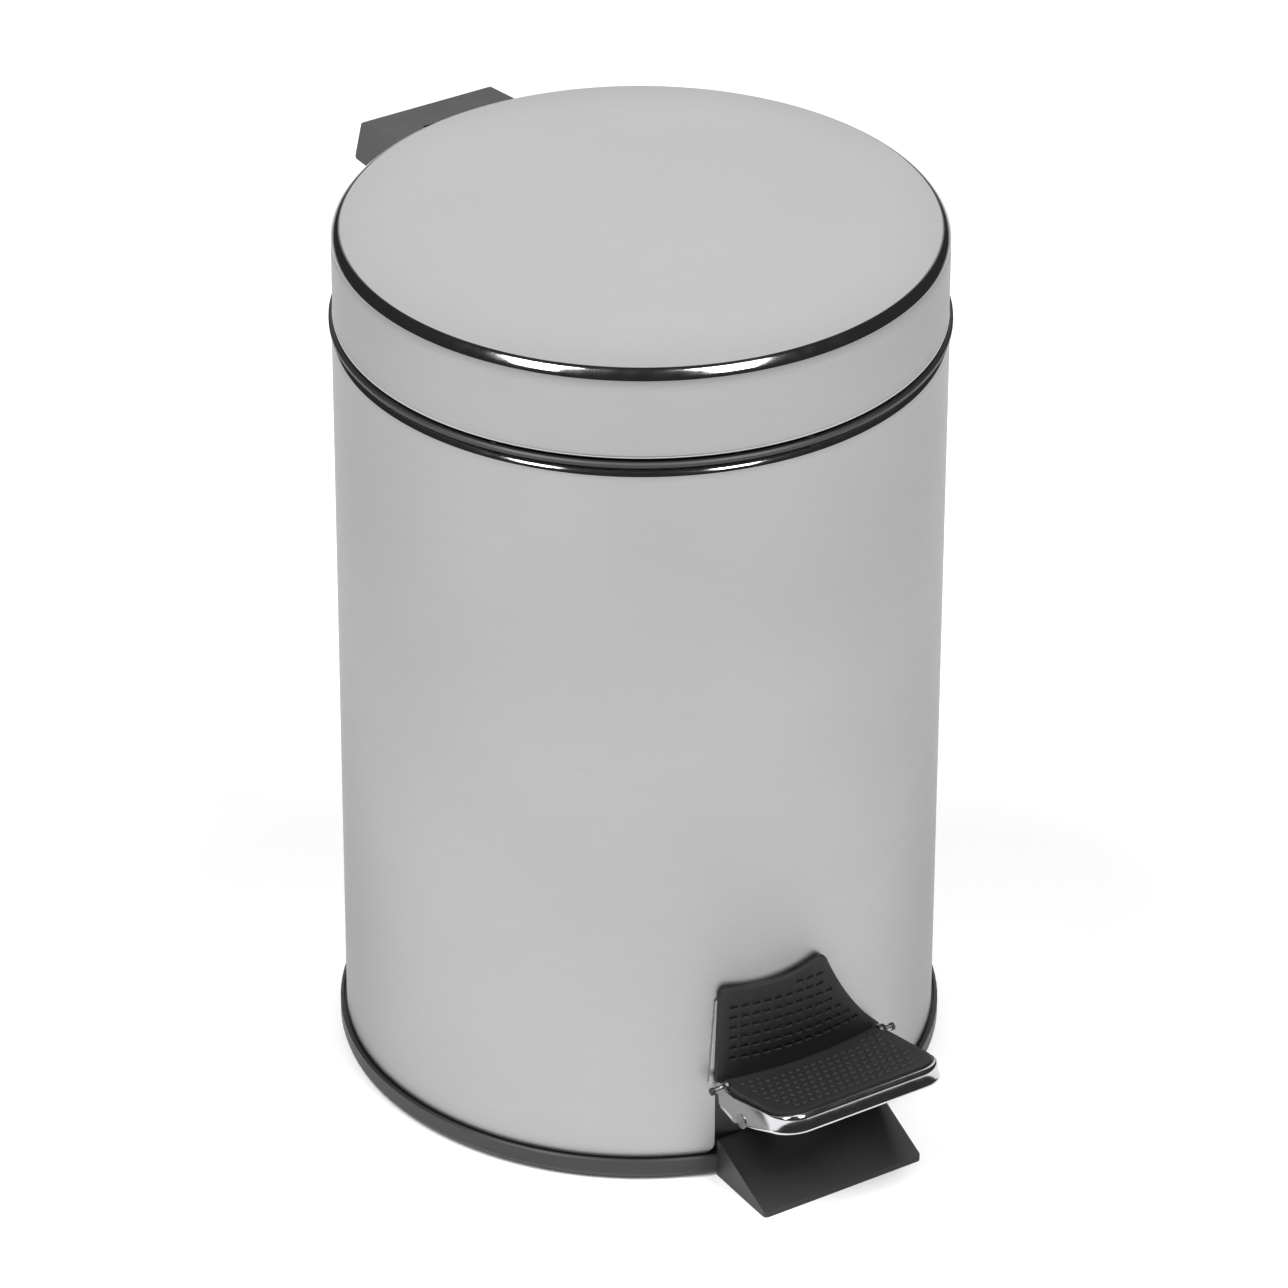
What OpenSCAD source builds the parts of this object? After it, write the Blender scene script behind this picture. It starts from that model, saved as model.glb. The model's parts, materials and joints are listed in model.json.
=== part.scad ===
// Small pedal trash can: satin steel can and lid, black plastic fittings,
// chromed pedal, lifting lever, push rod and a lift-out bucket with a bail.
// Z is up, the can's axis is the Z axis, the floor is z = 0, the pedal is at -Y.

/* [Can] */
// Outer radius of the steel can
can_r = 84.5; // [70:0.5:110]
// Overall height, floor to the lid's top
total_h = 257.2; // [200:0.2:320]
// Sheet thickness of the can and lid
sheet_t = 0.8; // [0.5:0.1:1.5]
// Height of the can's lower edge above the floor
can_z0 = 7; // [4:0.1:15]
// Top of the rolled bead at the can's mouth
can_z1 = 228.9; // [180:0.1:280]
// Radius of that bead
bead_r = 1.2; // [0.6:0.1:2]
// Underside of the raised steel bottom
bottom_z = 30; // [24:0.5:40]

/* [Lid] */
// Outer radius of the lid's skirt
lid_r = 84.2; // [70:0.1:110]
// Lower edge of the skirt
lid_z0 = 230.9; // [190:0.1:290]
// Radius of the polished edge
lid_edge_r = 3.3; // [1:0.1:6]
// Hinge pin's distance behind the axis
hinge_y = 98; // [90:0.5:110]
// Hinge pin's height
hinge_z = 240; // [230:0.5:250]
// How far the lid opens, in degrees
lid_open = 75; // [60:1:90]

/* [Plastic fittings] */
// Outer radius of the base ring
base_r = 86.3; // [70:0.1:110]
// Outer radius of the top collar
trim_r = 85.3; // [70:0.1:110]
// Half width of the foot under the pedal
foot_w = 26.2; // [15:0.1:40]
// Reach of the foot in front of the axis
foot_y = 106.7; // [90:0.1:130]
// Half width of the rear handle
handle_w = 21; // [14:0.5:40]

/* [Pedal] */
// Half width of the chromed tray
tray_w = 27.3; // [15:0.1:40]
// Length of the tray from its pin
tray_l = 32.4; // [20:0.1:60]
// Upward tilt of the tray at rest, in degrees
tray_tilt = 15; // [0:0.5:30]
// Pedal pin's distance in front of the axis
pin_y = 85.2; // [80:0.1:95]
// Pedal pin's height
pin_z = 31.6; // [25:0.1:45]
// Radius of the pedal pin
pin_r = 0.9; // [0.8:0.1:3]

/* [Lever and rod] */
// Lever axle's distance in front of the can's axis
axle_y = 60; // [40:1:70]
// Lever axle's height
axle_z = 11; // [8:0.5:20]
// Push rod's distance behind the can's axis
rod_y = 88; // [86:0.5:95]
// Radius of the push rod
rod_r = 2; // [1.5:0.1:3]

/* [Bucket] */
// Outer radius of the bucket's rim
rim_r = 80.3; // [60:0.1:100]
// Wall of the bucket
bucket_t = 1.6; // [1:0.1:3]
// Radius of the bail's arc
bail_r = 71.5; // [50:0.5:90]

/* [Hidden] */
$fn = 120;
can_ri = can_r - sheet_t;
run = 0.06;
steel = [0.74, 0.74, 0.73];
polished = [0.8, 0.8, 0.82];
black = [0.1, 0.1, 0.1];
rubber = [0.13, 0.13, 0.13];

// Cylinder along X, centred
module along_x(r, l) {
    rotate([0, 90, 0]) cylinder(r = r, h = l, center = true);
}

// Prism along X from a [y, z] outline
module prism_x(pts, w) {
    rotate([90, 0, 90]) linear_extrude(height = w, center = true) polygon(pts);
}

// Prism along Y from an [x, z] outline, between two values of y
module prism_y(y0, y1) {
    translate([0, y1, 0]) rotate([90, 0, 0]) linear_extrude(height = y1 - y0) children();
}

// Ring about the can's axis
module ring(ro, ri, z0, z1) {
    translate([0, 0, z0]) difference() {
        cylinder(r = ro, h = z1 - z0);
        translate([0, 0, -1]) cylinder(r = ri, h = z1 - z0 + 2);
    }
}

// The can: plain tube with a rolled mouth, open below the pedal and for the lever
module outer_shell() {
    color(steel) difference() {
        union() {
            ring(can_r, can_ri, can_z0, can_z1 - bead_r);
            translate([0, 0, can_z1 - bead_r]) rotate_extrude() translate([can_r - 0.6, 0]) {
                circle(r = bead_r);
            }
        }
        // opening behind the foot, its lower corners flared round
        prism_y(-can_r - 5, -60) pedal_opening();
        // way out for the lever's tail
        translate([-8, 60, can_z0 - 1]) cube([16, 40, 29.5 - can_z0 + 1]);
        // rivet and screw holes
        for (p = guard_rivet_pos()) {
            translate([p[0], -can_r + 6, p[1]]) rotate([90, 0, 0]) cylinder(r = 1.6, h = 10);
        }
        for (p = screw_pos()) translate([p[0], 70, p[1]]) rotate([-90, 0, 0]) cylinder(r = 1.5, h = 20);
        for (p = guide_pos()) translate([p[0], 70, p[1]]) rotate([-90, 0, 0]) cylinder(r = 1.2, h = 20);
    }
}

module pedal_opening() {
    difference() {
        union() {
            translate([-26, can_z0 - 1]) square([52, bottom_z - can_z0 - 0.5]);
            translate([-29, can_z0 - 1]) square([58, 4]);
        }
        for (s = [-1, 1]) translate([s * 29, can_z0 + 3]) circle(r = 3);
    }
}

// Positions [x, z] of the rivets behind the guard
function guard_rivet_pos() = [[-18, 50], [-3, 53], [9, 42]];

// Positions [x, z] of the rear handle's screws
function screw_pos() = [[-10.5, 211], [10.5, 211], [-10.5, 223], [10.5, 223]];

// Positions [x, z] of the rod guides' rivets
function guide_pos() = [[-10, 60], [10, 60], [-10, 150], [10, 150]];

// Raised bottom the bucket stands over, with a turned-down edge
module bottom_plate() {
    color(steel) difference() {
        union() {
            translate([0, 0, bottom_z]) cylinder(r = can_ri - 0.05, h = sheet_t);
            ring(can_ri - 0.05, can_ri - 0.85, bottom_z + 0.8 - 7, bottom_z + 0.4);
        }
        for (p = bracket_rivet_pos()) translate([p[0], p[1], bottom_z - 5]) cylinder(r = 1.5, h = 10);
        translate([-28.5, -90, bottom_z - 8]) cube([57, 13, 8]);
        translate([-8, 70, bottom_z - 8]) cube([16, 20, 7.9]);
    }
}

// Positions [x, y] of the rivets that hold the lever bracket
function bracket_rivet_pos() = [for (x = [-17, 17]) for (y = [-axle_y - 5, -axle_y + 5]) [x, y]];

// Foot ring, wedge foot below the pedal and the wall that closes the can's opening
module base_ring() {
    color(black) difference() {
        union() {
            // a narrow groove runs between the seat of the can's edge and the outer lip
            rotate_extrude() polygon([[80.5, 0], [base_r - 1.9, 0], [base_r - 0.3, 1.4], [base_r, 2.3],
                [base_r, can_z0 - 0.5], [base_r - 0.4, can_z0 - 0.1], [can_r + 0.9, can_z0 - 0.1],
                [can_r + 0.9, can_z0 - 1.4], [can_r + 0.1, can_z0 - 1.4], [can_r + 0.1, can_z0],
                [83.5, can_z0], [83.5, 15], [81.9, 15], [81.9, 6], [80.5, 4.6]]);
            intersection() {
                ring(83.5, 81.7, 0, bottom_z - 0.1);
                translate([-27.5, -90, 0]) cube([55, 40, bottom_z]);
            }
            difference() {
                intersection() {
                    prism_x([[-82, 0], [-82, 11.9], [-83.6, 11.7], [-foot_y + 0.3, 1.6], [-foot_y, 0]],
                        2 * foot_w);
                    linear_extrude(height = 20) foot_plan();
                }
                prism_x([[-86.5, -1], [-86.5, 8], [-98, 3.2], [-98, -1]], 2 * foot_w - 5);
            }
        }
        // slots for the lever, front and rear
        translate([-8.5, -90, 12.4]) cube([17, 30, 13.2]);
        translate([-8.5, 75, can_z0 + 0.8]) cube([17, 15, 20]);
    }
}

module foot_plan() {
    translate([-foot_w, -foot_y + 1.2]) square([2 * foot_w, 40]);
    translate([-foot_w + 1.2, -foot_y]) square([2 * foot_w - 2.4, 10]);
    for (s = [-1, 1]) translate([s * (foot_w - 1.2), -foot_y + 1.2]) circle(r = 1.2);
}

// Plastic collar in the can's mouth, with the ledge for the bucket's rim
module top_collar() {
    color(black) difference() {
        rotate_extrude() polygon([[77.9, 226.1], [77.9, 228.4], [80.9, 228.4], [80.9, 230.3],
            [trim_r - 0.5, 230.3], [trim_r, 229.9], [trim_r, can_z1 + 0.1], [82.6, can_z1 + 0.1],
            [82.6, 214], [80.9, 214], [80.9, 224]]);
        for (a = bumper_angles()) rotate([0, 0, a]) translate([83.3, 0, 225]) cylinder(r = 1.2, h = 9);
        for (p = screw_pos()) translate([p[0], 70, p[1]]) rotate([-90, 0, 0]) cylinder(r = 1.5, h = 20);
    }
}

function bumper_angles() = [-150, -90, -30];

// Small rubber buffers the lid closes on
module lid_bumpers() {
    color(rubber) for (a = bumper_angles()) rotate([0, 0, a]) translate([83.3, 0, 229.1]) {
        cylinder(r = 1.2, h = 1.7);
    }
}

// Handle behind the lid, which also houses the hinge
module rear_handle() {
    color(black) difference() {
        union() {
            prism_x([[80, 205], [90.2, 205], [91.5, 207], [91.5, 232], [80, 232]], 32);
            prism_x([[80, 230.6], [117.7, 230.6], [118.1, 231.4], [114.4, 243.2], [113.2, 244.1], [99.6, 246],
                [91, 247.1], [80, 248]], 2 * handle_w);
        }
        // face to the can, the collar and the lid
        translate([0, 0, 200]) cylinder(r = can_r + 0.05, h = can_z1 - 201.7);
        translate([0, 0, 224]) cylinder(r = trim_r + 0.3, h = 40);
        // room for the lid's rear edge as it swings
        prism_y_swing();
        // room for the hinge arms and the rod's upper end, roofed over the pin
        translate([-12, 80, 229]) cube([24, 23, 14.9]);
        translate([-12, 80, 229]) cube([24, 11.5, 30]);
        for (s = [-1, 1]) translate([s * 8.25 - 1.95, 80, 229]) cube([3.9, 18.7, 30]);
        translate([-4.5, 80, 200]) cube([9, 15, 40]);
        // hollow under the handle for the fingers
        prism_x([[103, 229], [114.6, 229], [111.8, 240.6], [110.9, 241.4], [103, 242.5]], 2 * handle_w - 5);
        prism_x([[100, 229], [105, 229], [105, 242.2], [100, 243]], 24);
        // hinge pin and screws
        translate([0, hinge_y, hinge_z]) along_x(1.5, 2 * handle_w - 3);
        for (p = screw_pos()) {
            translate([p[0], 70, p[1]]) rotate([-90, 0, 0]) cylinder(r = 1.5, h = 30);
        }
    }
}

// Space above the hinge's level that the lid sweeps, seen along X
module prism_y_swing() {
    translate([0, hinge_y, hinge_z]) difference() {
        translate([-30, -30, 0]) cube([60, 30, 30]);
        along_x(13.2, 80);
    }
}

module handle_screws() {
    color(polished) for (p = screw_pos()) translate([p[0], 0, p[1]]) rotate([-90, 0, 0]) {
        translate([0, 0, 78]) cylinder(r = 1.5, h = 14);
        difference() {
            translate([0, 0, 91.5]) cylinder(r = 2.8, h = 1.6);
            translate([0, 0, 92.6]) cube([3.2, 0.8, 2], center = true);
            translate([0, 0, 92.6]) cube([0.8, 3.2, 2], center = true);
        }
    }
}

module hinge_pin() {
    color(polished) translate([0, hinge_y, hinge_z]) along_x(1.5, 2 * handle_w - 3);
}

// Outline [x, z] of the guard above the pedal, as seen from the front
module guard_outline() {
    difference() {
        polygon([[-26.9, 30.8], [-26.1, 67], [12, 67], [30, 30.8]]);
        translate([-14, 113.5]) circle(r = 51.9);
        translate([99.9, 103]) circle(r = 101.3);
        // rounded upper corners
        difference() {
            translate([-30, 60.1]) square([6.2, 10]);
            translate([-23.8, 60.1]) circle(r = 2.3);
        }
        difference() {
            polygon([[4.9, 63.1], [4.1, 64.9], [4, 68], [9, 68], [9, 64.8], [6.9, 63.9]]);
            translate([4.9, 63.1]) circle(r = 1.8);
        }
    }
}

// Outline of the plate, which shows as a narrow strip beside the pad
module plate_outline() {
    polygon([[-26.9, 29.6], [-28.2, 31.2], [-28, 33.5], [-26.6, 58], [-24.5, 60.8], [-2, 60.8], [3.5, 62.6],
        [5.4, 62], [12.6, 50], [20, 39.4], [28.2, 31.2], [26.9, 29.6]]);
}

// Steel plate riveted to the can, with the two ears that carry the pedal pins
module guard_plate() {
    color(polished) difference() {
        union() {
            intersection() {
                ring(can_r + 0.85, can_r + 0.05, 29, 70);
                prism_y(-100, -50) plate_outline();
            }
            for (s = [-1, 1]) translate([s * 25.85, 0, 0]) {
                translate([0, -pin_y, pin_z]) along_x(1.8, 0.9);
                prism_x([[-80.8, 29.6], [-80.8, 31.6], [-83.4, 31.6], [-pin_y + 0.3, pin_z + 1.7],
                    [-pin_y, pin_z - 1.7], [-82, 29.6]], 0.9);
            }
        }
        for (s = [-1, 1]) translate([s * 25.85, -pin_y, pin_z]) along_x(pin_r, 2);
        for (p = guard_rivet_pos()) translate([p[0], -60, p[1]]) rotate([90, 0, 0]) cylinder(r = 1.6, h = 30);
    }
}

// Ribbed rubber pad on the guard plate
module guard_pad() {
    color(rubber) intersection() {
        ring(can_r + 2.3, can_r + 0.85, 31.8, 70);
        prism_y(-100, -50) guard_outline();
    }
}

module guard_rivets() {
    color(polished) intersection() {
        cylinder(r = can_r + 0.85, h = 100);
        for (p = guard_rivet_pos()) translate([p[0], -60, p[1]]) rotate([90, 0, 0]) {
            cylinder(r = 1.6, h = 30);
            translate([0, 0, 10]) cylinder(r = 2.6, h = sqrt(can_ri * can_ri - p[0] * p[0]) - 70.2);
        }
        translate([-40, -90, 30]) cube([80, 9.5, 40]);
    }
}

// Stub pins the pedal turns on, held in the plate's ears
module pedal_pins() {
    color(polished) for (s = [-1, 1]) translate([s * 27.4, -pin_y, pin_z]) along_x(pin_r, 4.2);
}

module pin_caps() {
    color(black) for (s = [-1, 1]) translate([s * 30, -pin_y, pin_z]) along_x(1.1, 1);
}

// Bracket under the raised bottom that carries the lever's axle
module lever_bracket() {
    color(steel) difference() {
        union() {
            translate([-21, -axle_y - 9, bottom_z - 1.2]) cube([42, 18, 1.2]);
            for (s = [-1, 1]) translate([s * 11.25, -axle_y, 0]) {
                prism_x([[-8, bottom_z - 0.6], [-4.5, axle_z - 1], [4.5, axle_z - 1],
                    [8, bottom_z - 0.6]], 1.5);
                translate([0, 0, axle_z]) along_x(4.6, 1.5);
            }
        }
        translate([0, -axle_y, axle_z]) along_x(2, 60);
        for (p = bracket_rivet_pos()) translate([p[0], p[1], bottom_z - 5]) cylinder(r = 1.5, h = 10);
    }
}

module bracket_rivets() {
    color(polished) for (p = bracket_rivet_pos()) translate([p[0], p[1], 0]) {
        translate([0, 0, bottom_z - 1.2]) cylinder(r = 1.5, h = 2);
        translate([0, 0, bottom_z - 2.2]) cylinder(r = 2.6, h = 1);
        translate([0, 0, bottom_z + sheet_t]) cylinder(r = 2.6, h = 0.8);
    }
}

module lever_axle() {
    color(polished) translate([0, -axle_y, axle_z]) along_x(2, 27.4);
}

module axle_clips() {
    color(black) for (s = [-1, 1]) translate([s * 12.45, -axle_y, axle_z]) difference() {
        along_x(3.4, 0.9);
        along_x(2, 2);
    }
}

// Long lever: the pedal presses its nose, its tail lifts the push rod
module pedal_lever() {
    color(steel) difference() {
        union() {
            prism_x([[-99, 22.6], [-92, 22.6], [-81.5, 16.4], [-66, 9.8], [-54, 9.6], [90.5, 9.6],
                [91.5, 10.6], [91.5, 12.1], [-53, 12.1], [-65, 13.2], [-80, 19.2], [-91.2, 25.1],
                [-99, 25.1], [-100, 24.1], [-100, 23.6]], 14);
            translate([0, -axle_y, axle_z]) along_x(4, 20);
        }
        translate([0, -axle_y, axle_z]) along_x(2 + run, 60);
    }
}

// Guides that hold the rod upright on the can's back
module rod_guides() {
    color(black) for (z = [60, 150]) difference() {
        union() {
            intersection() {
                ring(can_r + 1.6, can_r + 0.05, z - 5, z + 5);
                translate([-14, 70, 0]) cube([28, 30, 200]);
            }
            translate([-4.6, 83.5, z - 5]) cube([9.2, rod_y + 4 - 83.5, 10]);
        }
        cylinder(r = can_r + 0.05, h = 200);
        translate([0, rod_y, z - 10]) cylinder(r = rod_r + run, h = 20);
        for (x = [-10, 10]) translate([x, 70, z]) rotate([-90, 0, 0]) cylinder(r = 1.2, h = 30);
    }
}

module guide_rivets() {
    color(polished) for (p = guide_pos()) translate([p[0], 0, p[1]]) rotate([-90, 0, 0]) {
        translate([0, 0, 81.5]) cylinder(r = 1.2, h = 4.8);
        translate([0, 0, 85.9]) cylinder(r = 2.2, h = 0.9);
    }
}

module push_rod() {
    color(polished) {
        translate([0, rod_y, 13.4]) cylinder(r = rod_r, h = 218);
        translate([0, rod_y, 12.5]) cylinder(r = 2.5, h = 3);
    }
}

// Frame of the tray: origin at the pin, -Y along the tread, Z square to it
module tray_frame() {
    translate([0, -pin_y, pin_z]) rotate([-tray_tilt, 0, 0]) children();
}

// Plan of the tray, rounded at its front corners
module tray_plan(w, l, r, back) {
    translate([-w, -l + r]) square([2 * w, l - r - back]);
    translate([-w + r, -l]) square([2 * w - 2 * r, r + 1]);
    for (s = [-1, 1]) translate([s * (w - r), -l + r]) circle(r = r);
}

// Pressed tray: tread plate, rolled rim round the pad, front wall and two cheeks
module pedal_tray() {
    color(polished) tray_frame() difference() {
        union() {
            translate([0, 0, -2.8]) linear_extrude(height = 0.8) tray_plan(tray_w, tray_l, 8, 2.2);
            difference() {
                translate([0, 0, -1.8]) linear_extrude(height = 0.8) tray_plan(tray_w, tray_l, 8, 2.2);
                translate([0, 0, -3]) linear_extrude(height = 4) tray_plan(tray_w - 1, tray_l - 2.1, 6.6, -5);
            }
            intersection() {
                difference() {
                    translate([0, 0, -12]) linear_extrude(height = 11) tray_plan(tray_w, tray_l, 8, 0.4);
                    translate([0, 0, -13]) linear_extrude(height = 13) {
                        tray_plan(tray_w - 0.8, tray_l - 0.8, 7.2, -5);
                    }
                }
                prism_x([[1, -6], [-5, -9], [-17, -7.6], [-25, -6.3], [-40, -6.3], [-40, 0], [1, 0]], 80);
            }
            for (s = [-1, 1]) translate([s * (tray_w - 0.4), 0, 0]) {
                along_x(1.8, 0.8);
                prism_x([[1.8, 0], [2.2, -5.2], [-5, -8.9], [-7, -1.2], [-2.4, -0.2], [-0.6, 1.6]], 0.8);
            }
        }
        along_x(pin_r + run, 80);
        translate([0, -9.3, -7.2]) along_x(1.75, 80);
    }
}

// Rubber tread pad, thicker towards the guard
module pedal_pad() {
    color(rubber) difference() {
        tray_frame() intersection() {
            prism_x([[4, -2], [4, 1.6], [0, 1.4], [-31.3, -0.5], [-31.3, -2]], 80);
            translate([0, 0, -3]) linear_extrude(height = 6) tray_plan(tray_w - 1.1, tray_l - 2.2, 6.5, -4);
        }
        cylinder(r = can_r + 2.9, h = 60);
        // notches for the ears that carry the pins
        tray_frame() for (s = [-1, 1]) translate([s * 25.1 - (s < 0 ? 3 : 0), -2.8, -4]) cube([3, 10, 8]);
    }
}

// Cross bar through the tray's cheeks that bears on the lever's nose
module press_bar() {
    color(polished) tray_frame() translate([0, -9.3, -7.2]) {
        along_x(1.75, 2 * tray_w);
        for (s = [-1, 1]) translate([s * (tray_w + 0.15), 0, 0]) along_x(2.2, 0.3);
    }
}

// Lid: flat top, rounded edge, skirt with a rolled hem, slots for the hinge arms
module lid_shell() {
    color(steel) difference() {
        union() {
            rotate_extrude() difference() {
                union() {
                    translate([0, lid_z0 + 0.7]) square([lid_r, total_h - lid_edge_r - lid_z0 - 0.7]);
                    square_top();
                    translate([lid_r - lid_edge_r, total_h - lid_edge_r]) circle(r = lid_edge_r);
                }
                translate([-1, 0]) square([lid_r - sheet_t + 1, total_h - lid_edge_r]);
                translate([-1, total_h - lid_edge_r - 1]) {
                    square([lid_r - lid_edge_r + 1, 1 + lid_edge_r - sheet_t]);
                }
                translate([lid_r - lid_edge_r, total_h - lid_edge_r]) circle(r = lid_edge_r - sheet_t);
            }
            translate([0, 0, lid_z0 + 0.7]) rotate_extrude() translate([lid_r - 0.6, 0]) circle(r = 0.7);
        }
        for (s = [-1, 1]) translate([s * 8.25 - 1.75, 75, lid_z0 - 1]) cube([3.5, 20, 20.5]);
        for (p = lid_rivet_pos()) translate([p[0], 70, p[1]]) rotate([-90, 0, 0]) cylinder(r = 1.5, h = 20);
    }
}

module square_top() {
    translate([0, total_h - lid_edge_r]) square([lid_r - lid_edge_r, lid_edge_r]);
}

// Positions [x, z] of the rivets that hold the hinge arm
function lid_rivet_pos() = [[-3.6, 241], [3.6, 241]];

// Hinge arm inside the skirt: curved base, two ears, bar the rod pushes on
module lid_hinge_arm() {
    color(polished) difference() {
        union() {
            intersection() {
                ring(lid_r - sheet_t - 0.05, lid_r - sheet_t - 1.3, 234.6, 250);
                translate([-14, 70, 200]) cube([28, 20, 60]);
            }
            for (s = [-1, 1]) translate([s * 8.25, 0, 0]) {
                prism_x([[82.2, 235.4], [82.2, 249.4], [84.6, 249.4], [87.5, 241.5], [hinge_y, hinge_z + 0.4],
                    [hinge_y + 1, hinge_z - 3.4], [90, 231.8], [86.3, 231.7], [84.8, 235.4]], 2.5);
                translate([0, hinge_y, hinge_z]) along_x(3.6, 2.5);
            }
            translate([0, rod_y, 233.5]) along_x(1.6, 16);
        }
        translate([0, hinge_y, hinge_z]) along_x(1.5 + run, 60);
        for (p = lid_rivet_pos()) translate([p[0], 70, p[1]]) rotate([-90, 0, 0]) cylinder(r = 1.5, h = 20);
    }
}

module lid_rivets() {
    color(polished) for (p = lid_rivet_pos()) translate([p[0], 0, p[1]]) rotate([-90, 0, 0]) {
        translate([0, 0, 80.9]) cylinder(r = 2.4, h = 1);
        translate([0, 0, 81.5]) cylinder(r = 1.5, h = 3);
        translate([0, 0, 84.15]) cylinder(r = 2.4, h = 0.7);
    }
}

// Lift-out bucket with a flanged rim and two lugs for its bail
module inner_bucket() {
    color(black) difference() {
        union() {
            rotate_extrude() polygon([[0, 35], [70, 35], [72.4, 37], [77.2, 225], [77.2, 228.5],
                [rim_r, 228.5], [rim_r, 230.5], [77.2 - bucket_t, 230.5], [77.2 - bucket_t, 226],
                [72.5 - bucket_t, 38.6], [69.5, 36.8], [0, 36.8]]);
            for (s = [-1, 1]) translate([s * 76.2, 0, 0]) {
                translate([-1.4, -4.5, 226]) cube([2.8, 9, 8.5]);
                translate([0, 0, 234.5]) along_x(4.5, 2.8);
            }
        }
        translate([0, 0, 234.5]) along_x(1.5 + run, 200);
    }
}

// Wire bail, folded down inside the rim
module bucket_handle() {
    color(polished) translate([0, 0, 234.5]) {
        rotate([0, 0, 180]) rotate_extrude(angle = 180) translate([bail_r, 0]) circle(r = 1.5);
        for (s = [-1, 1]) {
            translate([s * bail_r, 0, 0]) sphere(r = 1.9);
            translate([s * (bail_r + 3.7), 0, 0]) along_x(1.5, 7.4);
        }
    }
}

module handle_grip() {
    color(black) translate([0, 0, 234.5]) rotate([0, 0, -110]) rotate_extrude(angle = 40) {
        translate([bail_r, 0]) difference() {
            circle(r = 3.4);
            circle(r = 1.5);
        }
    }
}

outer_shell();
bottom_plate();
base_ring();
top_collar();
lid_bumpers();
rear_handle();
handle_screws();
hinge_pin();
guard_plate();
guard_pad();
guard_rivets();
pedal_pins();
pin_caps();
lever_bracket();
bracket_rivets();
lever_axle();
axle_clips();
rod_guides();
guide_rivets();
pedal_tray();
pedal_pad();
press_bar();
pedal_lever();
push_rod();
lid_shell();
lid_hinge_arm();
lid_rivets();
inner_bucket();
bucket_handle();
handle_grip();
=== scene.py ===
import json
import math
import bmesh
import bpy
from mathutils import Matrix, Vector


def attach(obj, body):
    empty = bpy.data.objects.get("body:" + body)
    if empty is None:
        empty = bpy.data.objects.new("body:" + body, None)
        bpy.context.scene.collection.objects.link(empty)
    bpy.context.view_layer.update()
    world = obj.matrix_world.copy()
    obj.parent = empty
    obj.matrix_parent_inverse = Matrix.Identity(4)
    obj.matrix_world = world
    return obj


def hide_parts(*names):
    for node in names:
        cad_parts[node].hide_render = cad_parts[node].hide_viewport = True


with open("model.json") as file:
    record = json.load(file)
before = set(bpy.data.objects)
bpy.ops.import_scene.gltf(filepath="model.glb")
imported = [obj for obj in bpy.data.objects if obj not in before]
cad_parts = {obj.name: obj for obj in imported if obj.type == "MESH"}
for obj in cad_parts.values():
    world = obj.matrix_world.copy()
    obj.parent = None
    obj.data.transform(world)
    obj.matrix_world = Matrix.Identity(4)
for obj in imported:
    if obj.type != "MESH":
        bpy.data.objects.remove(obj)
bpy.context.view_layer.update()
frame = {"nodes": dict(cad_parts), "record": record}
nodes = frame["nodes"]
MM = 0.001

# ---------------------------------------------------------------- sizes (mm)
SHEET = 0.8
CAN_R, CAN_Z0, CAN_Z1 = 84.5, 7.0, 228.9
CAN_RI = CAN_R - SHEET
LID_R, LID_Z0, TOP_Z = 84.2, 230.9, 257.2
# polished rounds of lid and can: radius, and the slopes of their two creases in degrees
BAND_R, BAND_HIGH, BAND_LOW = 4.6, 72, 22
SHOULDER_R, SHOULDER_HIGH, SHOULDER_LOW = 3.0, 74, 20
# pedal: pin's place, tray's tilt, half width, length
PIN_Y, PIN_Z, TILT = 85.2, 31.6, math.radians(15)
TRAY_W, TRAY_L = 27.3, 32.4
# guard pad's pockets: first place and spacing, across and down
POCKET_X, POCKET_DX, POCKET_Z, POCKET_DZ = -22.3, 3.3, 59.5, 3.36
# camera: azimuth, elevation and roll in radians, distance in metres
VIEW_AZ, VIEW_EL, ROLL, DISTANCE = math.radians(-32.5), math.radians(31.28), math.radians(0.173), 1.99006


# ---------------------------------------------------------------- materials
def new_mat(name):
    """Material with a lone Principled shader."""
    m = bpy.data.materials.new(name)
    m.use_nodes = True
    nt = m.node_tree
    for n in list(nt.nodes):
        nt.nodes.remove(n)
    out = nt.nodes.new("ShaderNodeOutputMaterial")
    bsdf = nt.nodes.new("ShaderNodeBsdfPrincipled")
    nt.links.new(bsdf.outputs["BSDF"], out.inputs["Surface"])
    return m, nt, bsdf


def node(nt, kind, **props):
    """New shader node; props are its sockets' values or its own settings."""
    n = nt.nodes.new(kind)
    for key, value in props.items():
        if key in n.inputs:
            n.inputs[key].default_value = value
        else:
            setattr(n, key, value)
    return n


def coords(nt, scale):
    """The piece's own coordinates, in metres, times scale."""
    tc = nt.nodes.new("ShaderNodeTexCoord")
    mp = nt.nodes.new("ShaderNodeMapping")
    mp.inputs["Scale"].default_value = scale
    nt.links.new(tc.outputs["Object"], mp.inputs["Vector"])
    return mp.outputs["Vector"]


def noise(nt, scale, detail=3.0, rough=0.55, stretch=(1, 1, 1)):
    """Cloudy pattern; a large number in stretch makes it fine along that axis."""
    n = node(nt, "ShaderNodeTexNoise", Scale=scale, Detail=detail, Roughness=rough)
    nt.links.new(coords(nt, stretch), n.inputs["Vector"])
    return n.outputs["Fac"]


def ramp(nt, fac, lo, hi, a=0.3, b=0.7):
    """A number that runs from lo to hi as fac runs from a to b."""
    m = node(nt, "ShaderNodeMapRange")
    m.inputs["From Min"].default_value = a
    m.inputs["From Max"].default_value = b
    m.inputs["To Min"].default_value = lo
    m.inputs["To Max"].default_value = hi
    nt.links.new(fac, m.inputs["Value"])
    return m.outputs["Result"]


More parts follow.
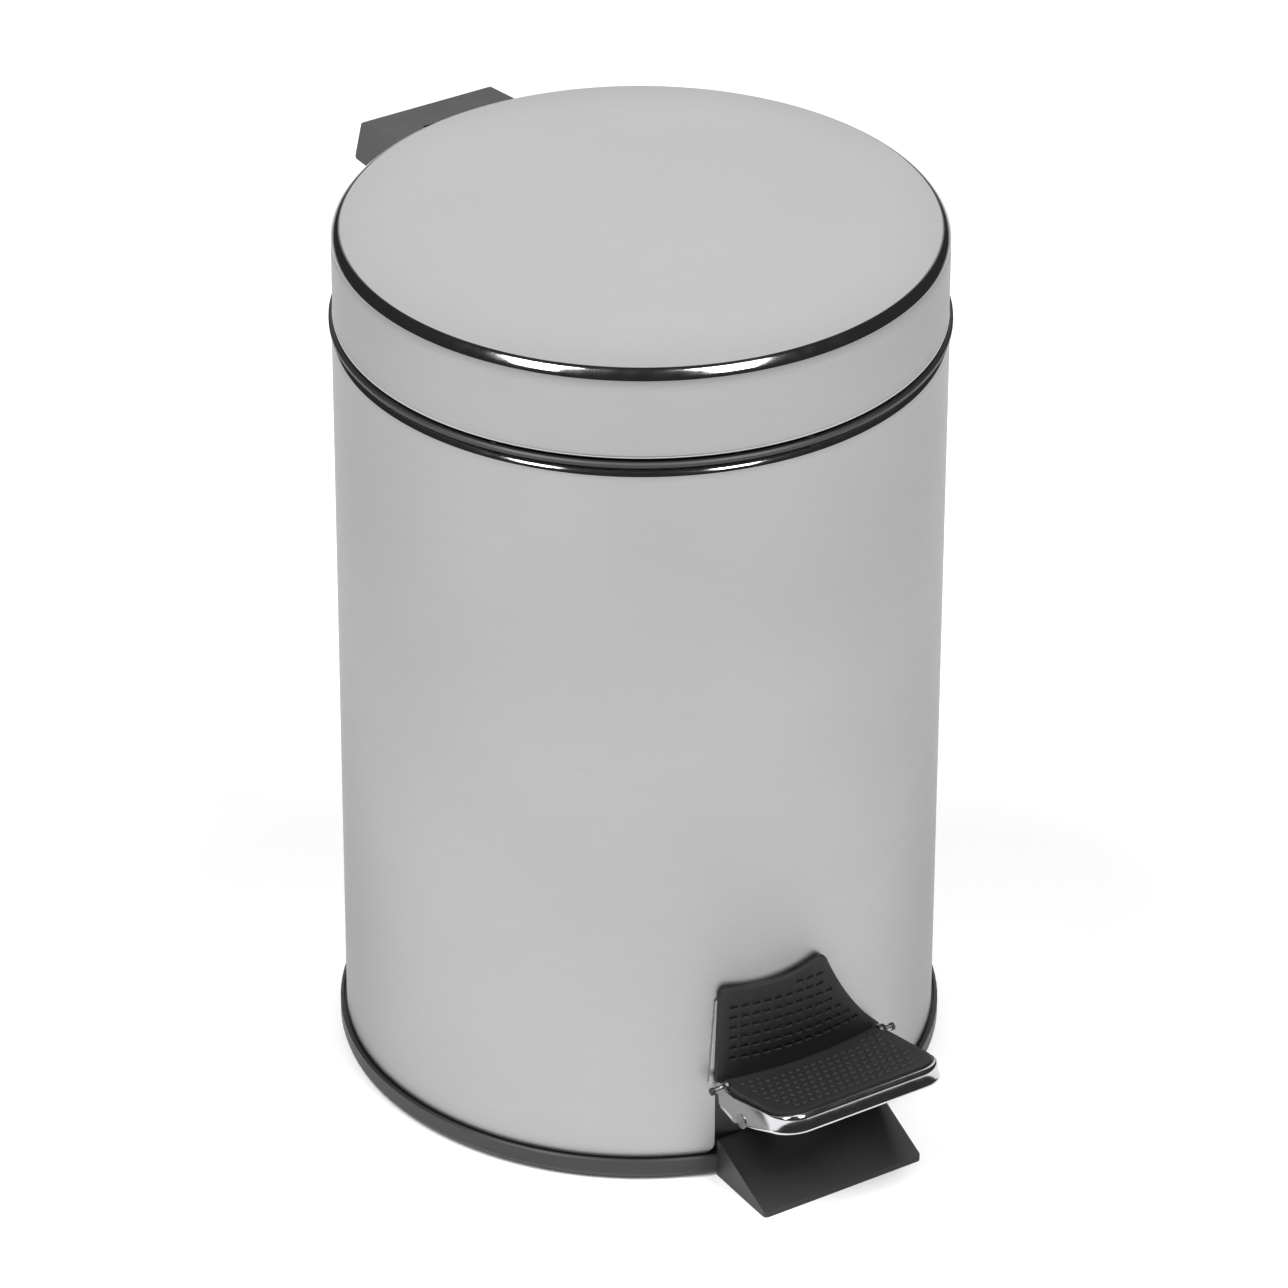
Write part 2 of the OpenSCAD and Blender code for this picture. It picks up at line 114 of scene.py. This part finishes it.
def tint(nt, fac, dark, light):
    """Colour between dark and light."""
    mix = nt.nodes.new("ShaderNodeMix")
    mix.data_type = "RGBA"
    mix.clamp_factor = False
    mix.inputs[6].default_value = (*dark, 1)
    mix.inputs[7].default_value = (*light, 1)
    nt.links.new(fac, mix.inputs[0])
    return mix.outputs[2]


def bump(nt, bsdf, height, strength, distance):
    """Surface relief, distance in metres."""
    b = node(nt, "ShaderNodeBump", Strength=strength, Distance=distance)
    nt.links.new(height, b.inputs["Height"])
    nt.links.new(b.outputs["Normal"], bsdf.inputs["Normal"])


def satin_steel(name, dark, light, r0, r1, streak):
    """Brushed sheet: fine streaks, faint clouds, and a paler tone low down, painted light that stands in for
    the bright floor's reflection.
    """
    m, nt, bsdf = new_mat(name)
    bsdf.inputs["Metallic"].default_value = 1.0
    bsdf.inputs["Specular Tint"].default_value = (0.84, 0.84, 0.84, 1)
    fine = noise(nt, 1.0, 4.0, 0.6, streak)
    cloud = noise(nt, 14.0, 2.0, 0.5)
    split = nt.nodes.new("ShaderNodeSeparateXYZ")
    nt.links.new(coords(nt, (1, 1, 1)), split.inputs[0])
    cloud_and_painted_floor_light = node(nt, "ShaderNodeMath", operation="ADD")
    nt.links.new(ramp(nt, cloud, -0.4, 0.4), cloud_and_painted_floor_light.inputs[0])
    # paler towards the bottom: painted light, the bright floor's reflection painted into the colour
    nt.links.new(ramp(nt, split.outputs["Z"], 1.6, 0.0, 0.0, 0.2), cloud_and_painted_floor_light.inputs[1])
    nt.links.new(tint(nt, cloud_and_painted_floor_light.outputs[0], dark, light), bsdf.inputs["Base Color"])
    nt.links.new(ramp(nt, fine, r0, r1), bsdf.inputs["Roughness"])
    bump(nt, bsdf, fine, 0.05, 0.00004)
    return m


def plain_metal(name, dark, light, r0, r1, scale=220.0):
    """Metal without a brushing direction."""
    m, nt, bsdf = new_mat(name)
    bsdf.inputs["Metallic"].default_value = 1.0
    n = noise(nt, scale, 3.0)
    nt.links.new(tint(nt, n, dark, light), bsdf.inputs["Base Color"])
    nt.links.new(ramp(nt, n, r0, r1), bsdf.inputs["Roughness"])
    return m


def plastic(name, dark, light, r0, r1, grain, depth, spec=0.5):
    """Moulded plastic or rubber with a fine grain."""
    m, nt, bsdf = new_mat(name)
    bsdf.inputs["Specular IOR Level"].default_value = spec
    fine = noise(nt, grain, 2.0, 0.5)
    cloud = noise(nt, 30.0, 3.0, 0.6)
    nt.links.new(tint(nt, cloud, dark, light), bsdf.inputs["Base Color"])
    nt.links.new(ramp(nt, cloud, r0, r1), bsdf.inputs["Roughness"])
    bump(nt, bsdf, fine, 0.25, depth)
    return m


# each: name, darkest and lightest colour, least and most roughness, then the grain
SATIN = satin_steel("satin_steel",
    (0.336, 0.336, 0.333), (0.36, 0.36, 0.357), 0.4, 0.5, (60, 60, 5200))
# the lid top's satin steel, brushed its own way; its far paler colour is painted light that makes the top
# lighter than the same steel on the can
SATIN_TOP_PAINTED_LIGHTER = satin_steel("satin_steel_top_painted_lighter",
    (0.535, 0.535, 0.532), (0.56, 0.56, 0.557), 0.42, 0.5, (60, 4200, 60))
EDGE = plain_metal("polished_edge", (0.37, 0.37, 0.37), (0.42, 0.42, 0.42), 0.08, 0.13)
CHROME = plain_metal("polished_tray", (0.46, 0.46, 0.47), (0.54, 0.54, 0.55), 0.09, 0.15)
BRIGHT = plain_metal("bright_steel", (0.3, 0.3, 0.3), (0.38, 0.38, 0.38), 0.24, 0.34)
ZINC = plain_metal("zinc_sheet", (0.42, 0.43, 0.44), (0.56, 0.57, 0.58), 0.38, 0.5, 60.0)
BLACK = plastic("black_plastic",
    (0.013, 0.013, 0.0132), (0.019, 0.019, 0.019), 0.42, 0.52, 2600.0, 0.00003)
BUCKET = plastic("bucket_plastic",
    (0.022, 0.022, 0.023), (0.03, 0.03, 0.031), 0.3, 0.4, 900.0, 0.00002)
RUBBER = plastic("black_rubber",
    (0.0135, 0.0135, 0.0138), (0.0195, 0.0195, 0.0195), 0.5, 0.62, 3200.0, 0.00004, 0.28)

SLOTS = {"satin_steel": SATIN, "zinc_steel": ZINC, "polished_steel": CHROME, "bright_steel": BRIGHT,
    "black_plastic": BLACK, "bucket_plastic": BUCKET, "rubber": RUBBER}
# nodes duller than their slot's own finish
DULLED = ("guard_plate", "press_bar")
slot_of = {s["node"]: s["material_slot"] for s in frame["record"]["subparts"]}


def smooth(obj, angle=32):
    """Smooth shading between faces that meet at less than angle."""
    bm = bmesh.new()
    bm.from_mesh(obj.data)
    limit = math.radians(angle)
    for f in bm.faces:
        f.smooth = True
    for e in bm.edges:
        e.smooth = len(e.link_faces) == 2 and e.calc_face_angle(0.0) < limit
    bm.to_mesh(obj.data)
    bm.free()


for name, obj in nodes.items():
    obj.data.materials.clear()
    obj.data.materials.append(BRIGHT if name in DULLED else SLOTS[slot_of[name]])


# ---------------------------------------------------------------- mesh tools
def make(name, verts, faces, mat, body):
    """A piece from millimetre points; it rides on body and takes its finish from mat."""
    me = bpy.data.meshes.new(name)
    me.from_pydata([Vector(v) * MM for v in verts], [], faces)
    me.update()
    obj = bpy.data.objects.new(name, me)
    bpy.context.scene.collection.objects.link(obj)
    if mat:
        me.materials.append(mat)
    bm = bmesh.new()
    bm.from_mesh(me)
    bmesh.ops.remove_doubles(bm, verts=bm.verts, dist=1e-7)
    bmesh.ops.recalc_face_normals(bm, faces=bm.faces)
    bm.to_mesh(me)
    bm.free()
    if body:
        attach(obj, body)
    return obj


def lathe(name, profile, mat, body, n=360):
    """Closed [r, z] profile turned about the can's axis. Points at r = 0 collapse to the axis."""
    verts, faces = [], []
    k = len(profile)
    for i in range(n):
        a = 2 * math.pi * i / n
        ca, sa = math.cos(a), math.sin(a)
        verts += [(r * ca, r * sa, z) for r, z in profile]
    for i in range(n):
        j = (i + 1) % n
        for p in range(k):
            q = (p + 1) % k
            if profile[p][0] == 0 and profile[q][0] == 0:
                continue
            faces.append((i * k + p, j * k + p, j * k + q, i * k + q))
    verts, faces = weld(verts, faces)
    return make(name, verts, faces, mat, body)


def weld(verts, faces):
    """Merges equal points and drops faces that fall to a line."""
    index, new, remap = {}, [], []
    for v in verts:
        key = (round(v[0], 5), round(v[1], 5), round(v[2], 5))
        if key not in index:
            index[key] = len(new)
            new.append(v)
        remap.append(index[key])
    out = []
    for f in faces:
        g = []
        for i in f:
            if remap[i] not in g:
                g.append(remap[i])
        if len(g) > 2:
            out.append(tuple(g))
    return new, out


def arc(cx, cy, r, a0, a1, n):
    """Points on an arc, angles in degrees."""
    return [(cx + r * math.cos(math.radians(a0 + (a1 - a0) * i / n)),
        cy + r * math.sin(math.radians(a0 + (a1 - a0) * i / n))) for i in range(n + 1)]


def prism(name, pts, lo, hi, axis):
    """Extrudes an outline along axis y or z between lo and hi."""
    place = {"y": lambda p, t: (p[0], t, p[1]), "z": lambda p, t: (p[0], p[1], t)}[axis]
    n = len(pts)
    verts = [place(p, lo) for p in pts] + [place(p, hi) for p in pts]
    faces = [tuple(range(n)), tuple(range(2 * n - 1, n - 1, -1))]
    faces += [(i, (i + 1) % n, n + (i + 1) % n, n + i) for i in range(n)]
    return make(name, verts, faces, None, None)


def block(name, lo, hi):
    """Box between two corners."""
    plan = [(lo[0], lo[1]), (hi[0], lo[1]), (hi[0], hi[1]), (lo[0], hi[1])]
    return prism(name, plan, lo[2], hi[2], "z")


def settle(obj):
    """Applies obj's modifiers to its mesh."""
    dg = bpy.context.evaluated_depsgraph_get()
    dg.update()
    me = bpy.data.meshes.new_from_object(obj.evaluated_get(dg))
    old = obj.data
    obj.modifiers.clear()
    obj.data = me
    me.name = obj.name
    bpy.data.meshes.remove(old)


def cut(obj, tools):
    """Takes each tool's shape out of obj; the tools are used up."""
    for t in tools:
        m = obj.modifiers.new("cut", "BOOLEAN")
        m.operation = "DIFFERENCE"
        m.solver = "EXACT"
        m.object = t
        settle(obj)
        bpy.data.objects.remove(t)


def soften(obj, width, segments, angle):
    """Rounds obj's edges that are sharper than angle."""
    m = obj.modifiers.new("soften", "BEVEL")
    m.width = width * MM
    m.segments = segments
    m.limit_method = "ANGLE"
    m.angle_limit = math.radians(angle)
    settle(obj)


# ---------------------------------------------------------------- lid
def lid_skin():
    """Flat top, polished band between two creases, skirt and hem, as one turned sheet."""
    rc = LID_R - BAND_R * math.cos(math.radians(BAND_LOW))
    zc = TOP_Z - BAND_R * math.sin(math.radians(BAND_HIGH))
    crease = zc + BAND_R * math.sin(math.radians(BAND_LOW))
    outer = [(0, TOP_Z), (30, TOP_Z), (60, TOP_Z)] + arc(rc, zc, BAND_R, BAND_HIGH, BAND_LOW, 12)
    outer += [(LID_R, TOP_Z - 6), (LID_R, LID_Z0 + 1.5)]
    hem = arc(LID_R - 0.6, LID_Z0 + 0.7, 0.7, 30, -210, 16)
    inner = [(LID_R - SHEET, LID_Z0 + 1.6), (LID_R - SHEET, crease - 0.6)]
    inner += arc(rc, zc, BAND_R - SHEET, 28, 76, 8) + [(0, TOP_Z - SHEET)]
    obj = lathe("lid_skin", outer + hem + inner, SATIN, "lid")
    obj.data.materials.append(SATIN_TOP_PAINTED_LIGHTER)
    obj.data.materials.append(EDGE)
    for f in obj.data.polygons:
        c = f.center / MM
        r = math.hypot(c.x, c.y)
        # the flat top takes the paler copy of the steel: painted light
        if c.z > TOP_Z - 0.01:
            f.material_index = 1
        elif r > rc and (c.z > crease - 0.02 or c.z < LID_Z0 + 1.2):
            f.material_index = 2
    arms = [s * 8.25 for s in (-1, 1)]
    cut(obj, [block("arm_slot", (x - 1.75, 75, LID_Z0 - 1), (x + 1.75, 95, LID_Z0 + 19.5)) for x in arms])
    smooth(obj)
    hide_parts("lid_shell")


# ---------------------------------------------------------------- can
def can_skin():
    """Tube with a rounded, polished shoulder, cut open behind the foot and for the lever's tail."""
    crease = CAN_Z1 - 3.0
    rc = CAN_R + 0.2 - SHOULDER_R * math.cos(math.radians(SHOULDER_LOW))
    zc = crease - SHOULDER_R * math.sin(math.radians(SHOULDER_LOW))
    profile = [(CAN_R, z) for z in (CAN_Z0, 60, 120, 180, crease - 2)]
    profile += arc(rc, zc, SHOULDER_R, SHOULDER_LOW, SHOULDER_HIGH, 14)
    profile += arc(rc, zc, SHOULDER_R - SHEET, 66, 24, 10)
    profile += [(CAN_RI, z) for z in (crease - 2, 180, CAN_Z0)]
    obj = lathe("can_skin", profile, SATIN, "can")
    obj.data.materials.append(EDGE)
    for f in obj.data.polygons:
        c = f.center / MM
        if c.z > crease and math.hypot(c.x, c.y) > rc:
            f.material_index = 1
    # the front opening's lower corners flare out in quarter rounds
    left = arc(-29, CAN_Z0 + 3, 3, 0, -90, 8) + [(-32, CAN_Z0), (-32, CAN_Z0 - 2)]
    outline = left[::-1] + [(-26, 29.5), (26, 29.5)] + [(-x, z) for x, z in left]
    cut(obj, [prism("gate", outline, -95, -60, "y"),
        block("tail_slot", (-8, 60, CAN_Z0 - 1), (8, 100, 29.5))])
    smooth(obj)
    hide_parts("outer_shell")


# ---------------------------------------------------------------- guard pad
def slice_mesh(obj, axis, step, lo, hi):
    """Adds edge loops across one axis so the piece can bend evenly."""
    normal = [float(i == axis) for i in range(3)]
    bm = bmesh.new()
    bm.from_mesh(obj.data)
    at = lo
    while at < hi:
        bmesh.ops.bisect_plane(bm, geom=bm.verts[:] + bm.edges[:] + bm.faces[:],
            plane_co=[at * MM * c for c in normal], plane_no=normal, dist=1e-7)
        at += step
    bm.to_mesh(obj.data)
    bm.free()


def guard_edge(z):
    """The guard's right edge at height z, a hollow curve."""
    return 99.9 - math.sqrt(101.3 ** 2 - (z - 103) ** 2)


def guard_roof(x):
    """The guard's top edge at x, lowest left of the middle."""
    return 113.5 - math.sqrt(51.9 ** 2 - (x + 14) ** 2)


def guard_face():
    """Moulded pad with rows of small slots, bent round the can."""
    right = [(guard_edge(31.8 + i), 31.8 + i) for i in range(31)]
    top = [(x, guard_roof(x)) for x in range(4, -23, -1)]
    outline = right + arc(4.9, 63.1, 1.8, 15, 105, 6) + top
    outline += arc(-23.8, 60.1, 2.3, 95, 178, 6) + [(-26.88, 31.8)]
    obj = prism("guard_face", outline, 0.0, 1.45, "y")
    obj.data.materials.append(RUBBER)
    pockets = []
    for row in range(7):
        zc = POCKET_Z - POCKET_DZ * row
        for col in range(18):
            xc = POCKET_X + POCKET_DX * col
            if xc + 1.1 > guard_edge(zc + 1) - 1.9:
                break
            if zc + 0.5 < guard_roof(xc) - 2.3:
                pockets.append((xc, zc))
    # each pocket narrows inwards: level above the back face, half width, half height
    verts, faces = [], []
    for xc, zc in pockets:
        k = len(verts)
        for y, w, h in ((0.7, 0.95, 0.4), (1.6, 1.15, 0.6)):
            verts += [(xc + i * w, y, zc + j * h) for i, j in ((-1, -1), (1, -1), (1, 1), (-1, 1))]
        faces += [(k, k + 1, k + 2, k + 3), (k + 7, k + 6, k + 5, k + 4)]
        faces += [(k + i, k + 4 + i, k + 4 + (i + 1) % 4, k + (i + 1) % 4) for i in range(4)]
    cut(obj, [make("pockets", verts, faces, None, None)])
    soften(obj, 0.2, 2, 50)
    slice_mesh(obj, 0, POCKET_DX / 2, POCKET_X - POCKET_DX / 2, 28)
    slice_mesh(obj, 2, POCKET_DZ / 2, POCKET_Z - POCKET_DZ * 8, 64)
    for v in obj.data.vertices:
        x, t, z = v.co / MM
        r = CAN_R + 0.85 + t
        v.co = Vector((x, -math.sqrt(r * r - x * x), z)) * MM
    smooth(obj, 40)
    # the face shades as the round it lies on
    normals = [Vector((0, 0, 0))] * len(obj.data.loops)
    for f in obj.data.polygons:
        c = f.center
        if f.normal.dot(Vector((c.x, c.y, 0)).normalized()) > 0.99:
            for i in f.loop_indices:
                p = obj.data.vertices[obj.data.loops[i].vertex_index].co
                normals[i] = Vector((p.x, p.y, 0)).normalized()
    obj.data.normals_split_custom_set(normals)
    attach(obj, "can")
    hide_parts("guard_pad")


# ---------------------------------------------------------------- tread pad
def tray_place(v):
    """From the tray's own frame (origin at the pin) to the row frame, millimetres."""
    c, s = math.cos(TILT), math.sin(TILT)
    return (v[0], -PIN_Y + c * v[1] + s * v[2], PIN_Z - s * v[1] + c * v[2])


def tread_top(v):
    """Height of the pad's upper face at v along the tray."""
    return 1.4 + v * 1.9 / 31.3


def tread_rear(x):
    """The pad's rear edge at x, which follows the guard's round."""
    return (PIN_Y - math.sqrt((CAN_R + 2.9) ** 2 - x * x)) / math.cos(TILT)


def tread_face():
    """Rubber pad: a plain rounded border, a slightly sunk field and staggered nubs."""
    w, length, r = TRAY_W - 1.1, TRAY_L - 2.2, 6.5
    front = arc(-w + r, -length + r, r, 180, 270, 10) + arc(w - r, -length + r, r, 270, 360, 10)
    notch = 25.1
    back = [(x, tread_rear(x)) for x in [notch * (1 - i / 12) for i in range(25)]]
    outline = front + [(w, -2.8), (notch, -2.8)] + back + [(-notch, -2.8), (-w, -2.8)]
    n = len(outline)
    verts = [(x, v, -2.0) for x, v in outline] + [(x, v, tread_top(v)) for x, v in outline]
    faces = [tuple(range(n - 1, -1, -1)), tuple(range(n, 2 * n))]
    faces += [(i, (i + 1) % n, n + (i + 1) % n, n + i) for i in range(n)]
    obj = make("tread_face", verts, faces, RUBBER, None)
    bm = bmesh.new()
    bm.from_mesh(obj.data)
    top = max(bm.faces, key=lambda f: (len(f.verts) > 8) * f.calc_center_median().z)
    bmesh.ops.inset_region(bm, faces=[top], thickness=1.9 * MM, depth=0)
    bmesh.ops.inset_region(bm, faces=[top], thickness=0.5 * MM, depth=-0.12 * MM)
    bm.to_mesh(obj.data)
    bm.free()
    soften(obj, 0.5, 3, 25)
    # nubs, each a low dome with a flat crown, as rings of radius and height
    verts, faces = [], []
    pitch, rings, sides = 2.5, ((1.14, -0.6), (1.12, 0.0), (0.9, 0.22), (0.5, 0.3)), 12
    for row in range(8):
        v0 = -26.2 + 3.15 * row
        count = 18 if row % 2 == 0 else 19
        for i in range(count):
            x0 = (i - (count - 1) / 2) * pitch
            limit = w - 3.2 if row > 1 else w - 5.4
            if abs(x0) > limit or v0 > tread_rear(x0) - 3.4:
                continue
            k = len(verts)
            for radius, h in rings:
                verts += [(x, y, tread_top(v0) + h) for x, y in arc(x0, v0, radius, 0, 360, sides)[:-1]]
            for low in range(k, k + sides * (len(rings) - 1), sides):
                high = low + sides
                faces += [(low + j, low + (j + 1) % sides, high + (j + 1) % sides, high + j)
                    for j in range(sides)]
            faces.append(tuple(k + j for j in range(sides - 1, -1, -1)))
            faces.append(tuple(high + j for j in range(sides)))
    nubs = make("tread_nubs", verts, faces, RUBBER, None)
    for o in (obj, nubs):
        for v in o.data.vertices:
            v.co = Vector(tray_place(v.co / MM)) * MM
        smooth(o, 40)
        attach(o, "pedal")
    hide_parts("pedal_pad")


# ---------------------------------------------------------------- tray
def wall_foot(v):
    """Lower edge of the tray's wall at v along the tray."""
    pts = [(-40, -6.3), (-25, -6.3), (-17, -7.6), (-5, -9.0), (1.0, -6.2), (5, -6.2)]
    for (a, ha), (b, hb) in zip(pts, pts[1:]):
        if a <= v <= b:
            return ha + (hb - ha) * (v - a) / (b - a)
    return -6.3


def tray_face():
    """Pressed tray: rim rolled over the pad's edge, wall and rounded hem swept round the plan."""
    w, length, r = TRAY_W, TRAY_L, 8.0
    stations = (1.2, -2, -5, -9, -13, -17, -21)

    def corner(x0, start):
        """Quarter round of the plan, as points with their outward directions."""
        turns = [math.radians(start + 5 * i) for i in range(19)]
        ways = [(math.cos(a), math.sin(a)) for a in turns]
        return [(x0 + r * c, -length + r + r * s, c, s) for c, s in ways]

    path = [(-w, v, -1, 0) for v in stations] + corner(-w + r, 180)
    path += [(x, -length, 0, -1) for x in (-14, -7, 0, 7, 14)]
    path += corner(w - r, 270) + [(w, v, 1, 0) for v in stations[::-1]]
    verts, faces, k = [], [], 0
    for x, v, nx, nv in path:
        # section: depth from the outer face and height; the front's rim is broader and rounder
        front = abs(nv)
        lip, bend, foot = 1.0 + 1.1 * front, 0.3 + 1.1 * front, wall_foot(v)
        inner, centre = max(bend - SHEET, 0.02), max(bend, SHEET)
        sec = [(lip, -1.0)] + arc(bend, -1.0 - bend, bend, 90, 180, 6)
        sec += [(0, foot + 1.2), (-0.16, foot + 0.95), (-0.3, foot + 0.5), (-0.2, foot + 0.15),
            (0.15, foot), (0.5, foot + 0.15), (SHEET, foot + 0.6), (SHEET, -1.0 - centre)]
        sec += arc(centre, -1.0 - centre, inner, 150, 90, 2) + [(lip, -1.8)]
        k = len(sec)
        verts += [(x - nx * o, v - nv * o, h) for o, h in sec]
    n = len(path)
    for i in range(n - 1):
        a, b = i * k, (i + 1) * k
        faces += [(a + j, b + j, b + (j + 1) % k, a + (j + 1) % k) for j in range(k)]
    faces += [tuple(range(k)), tuple((n - 1) * k + j for j in range(k - 1, -1, -1))]
    # plate under the pad
    plan = [(x - nx * 0.4, v - nv * 0.4) for x, v, nx, nv in path]
    b = len(verts)
    verts += [(x, min(v, -2.2), -2.8) for x, v in plan] + [(x, min(v, -2.2), -2.0) for x, v in plan]
    faces += [tuple(b + i for i in range(n)), tuple(b + n + i for i in range(n - 1, -1, -1))]
    faces += [(b + i, b + (i + 1) % n, b + n + (i + 1) % n, b + n + i) for i in range(n)]
    # eyes for the pins at the cheeks' rear ends
    for side in (-1, 1):
        eye = arc(0, 0, 1.8, -20, 110, 12) + [(-2.4, -0.2), (-7, -1.2), (-6.5, -8.4), (-5, -8.9), (2.2, -5.2)]
        b, m = len(verts), len(eye)
        for x in (w - 0.82, w + 0.02):
            verts += [(side * x, v, h) for v, h in eye]
        faces += [tuple(b + i for i in range(m)), tuple(b + m + i for i in range(m - 1, -1, -1))]
        faces += [(b + i, b + (i + 1) % m, b + m + (i + 1) % m, b + m + i) for i in range(m)]
    verts, faces = weld(verts, faces)
    obj = make("tray_face", [tray_place(p) for p in verts], faces, CHROME, "pedal")
    smooth(obj, 38)
    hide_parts("pedal_tray")


lid_skin()
can_skin()
guard_face()
tread_face()
tray_face()


# ---------------------------------------------------------------- stage
def floor():
    """Plain pale ground."""
    me = bpy.data.meshes.new("floor")
    me.from_pydata([(-6, -6, 0), (6, -6, 0), (6, 6, 0), (-6, 6, 0)], [], [(0, 1, 2, 3)])
    obj = bpy.data.objects.new("floor", me)
    bpy.context.scene.collection.objects.link(obj)
    m, nt, bsdf = new_mat("pale_floor")
    bsdf.inputs["Base Color"].default_value = (0.95, 0.95, 0.95, 1)
    bsdf.inputs["Roughness"].default_value = 0.6
    bsdf.inputs["Specular IOR Level"].default_value = 0.2
    bsdf.inputs["Emission Color"].default_value = (1, 1, 1, 1)
    bsdf.inputs["Emission Strength"].default_value = 0.1
    me.materials.append(m)


def studio():
    """Dark room with one broad bright patch high behind the object."""
    world = bpy.data.worlds.new("studio")
    world.use_nodes = True
    nt = world.node_tree
    bg = nt.nodes["Background"]
    bg.inputs["Color"].default_value = (1, 1, 1, 1)
    tc = nt.nodes.new("ShaderNodeTexCoord")
    e = math.radians(WALL_EL)
    dot = node(nt, "ShaderNodeVectorMath", operation="DOT_PRODUCT")
    dot.inputs[1].default_value = (WALL_X * math.cos(e), WALL_Y * math.cos(e), math.sin(e))
    nt.links.new(tc.outputs["Generated"], dot.inputs[0])
    wall = node(nt, "ShaderNodeMapRange", interpolation_type="SMOOTHSTEP")
    wall.inputs["From Min"].default_value = WALL_OUT
    wall.inputs["From Max"].default_value = WALL_IN
    wall.inputs["To Min"].default_value = ROOM
    wall.inputs["To Max"].default_value = WALL
    nt.links.new(dot.outputs["Value"], wall.inputs["Value"])
    nt.links.new(wall.outputs["Result"], bg.inputs["Strength"])
    bpy.context.scene.world = world


def strip(name, across, along, wide, length, turn, power):
    """Long level softbox overhead; across and along the main view in metres from the can's axis."""
    light = bpy.data.lights.new(name, "AREA")
    light.shape, light.size, light.size_y, light.energy = "RECTANGLE", wide, length, power
    obj = bpy.data.objects.new(name, light)
    bpy.context.scene.collection.objects.link(obj)
    c, s = math.cos(VIEW_AZ), math.sin(VIEW_AZ)
    obj.location = (across * c - along * s, across * s + along * c, STRIP_HEIGHT)
    obj.rotation_euler = (0, 0, VIEW_AZ - math.radians(turn))


# brightness of room and wall; the wall's middle, as a level direction away from the viewer and
# an elevation in degrees; the cosines from that middle where the wall begins and is full
ROOM, WALL, WALL_X, WALL_Y, WALL_EL, WALL_OUT, WALL_IN = 0.05, 1.26, 0.537, 0.843, 29, 0.85, 0.95
STRIP_HEIGHT = 2.25  # metres
floor()
studio()
strip("strip_left", -1.14, -0.95, 0.6, 2.0, 29, 71)
strip("strip_right", 1.0, -0.97, 0.58, 2.0, -26, 66)
scene = bpy.context.scene
scene.view_settings.view_transform = "Standard"
scene.view_settings.look = "None"

# ---------------------------------------------------------------- camera
cam = bpy.data.cameras.new("camera")
cam.sensor_width = 36
cam.lens = 198.0
cam_obj = bpy.data.objects.new("camera", cam)
scene.collection.objects.link(cam_obj)
level = math.cos(VIEW_EL)
back = Vector((math.sin(VIEW_AZ) * level, -math.cos(VIEW_AZ) * level, math.sin(VIEW_EL)))
right = Vector((math.cos(VIEW_AZ), math.sin(VIEW_AZ), 0))
up = back.cross(right)
# the view's middle lies a little right of the can's axis
target = right * 0.00114 + Vector((0, 0, 0.1232))
rolled_right = right * math.cos(ROLL) + up * math.sin(ROLL)
rolled_up = up * math.cos(ROLL) - right * math.sin(ROLL)
cam_obj.rotation_mode = "QUATERNION"
cam_obj.rotation_quaternion = Matrix((rolled_right, rolled_up, back)).transposed().to_quaternion()
cam_obj.location = target + back * DISTANCE
cam.clip_start, cam.clip_end = 0.1, 50
scene.camera = cam_obj

bpy.context.view_layer.update()
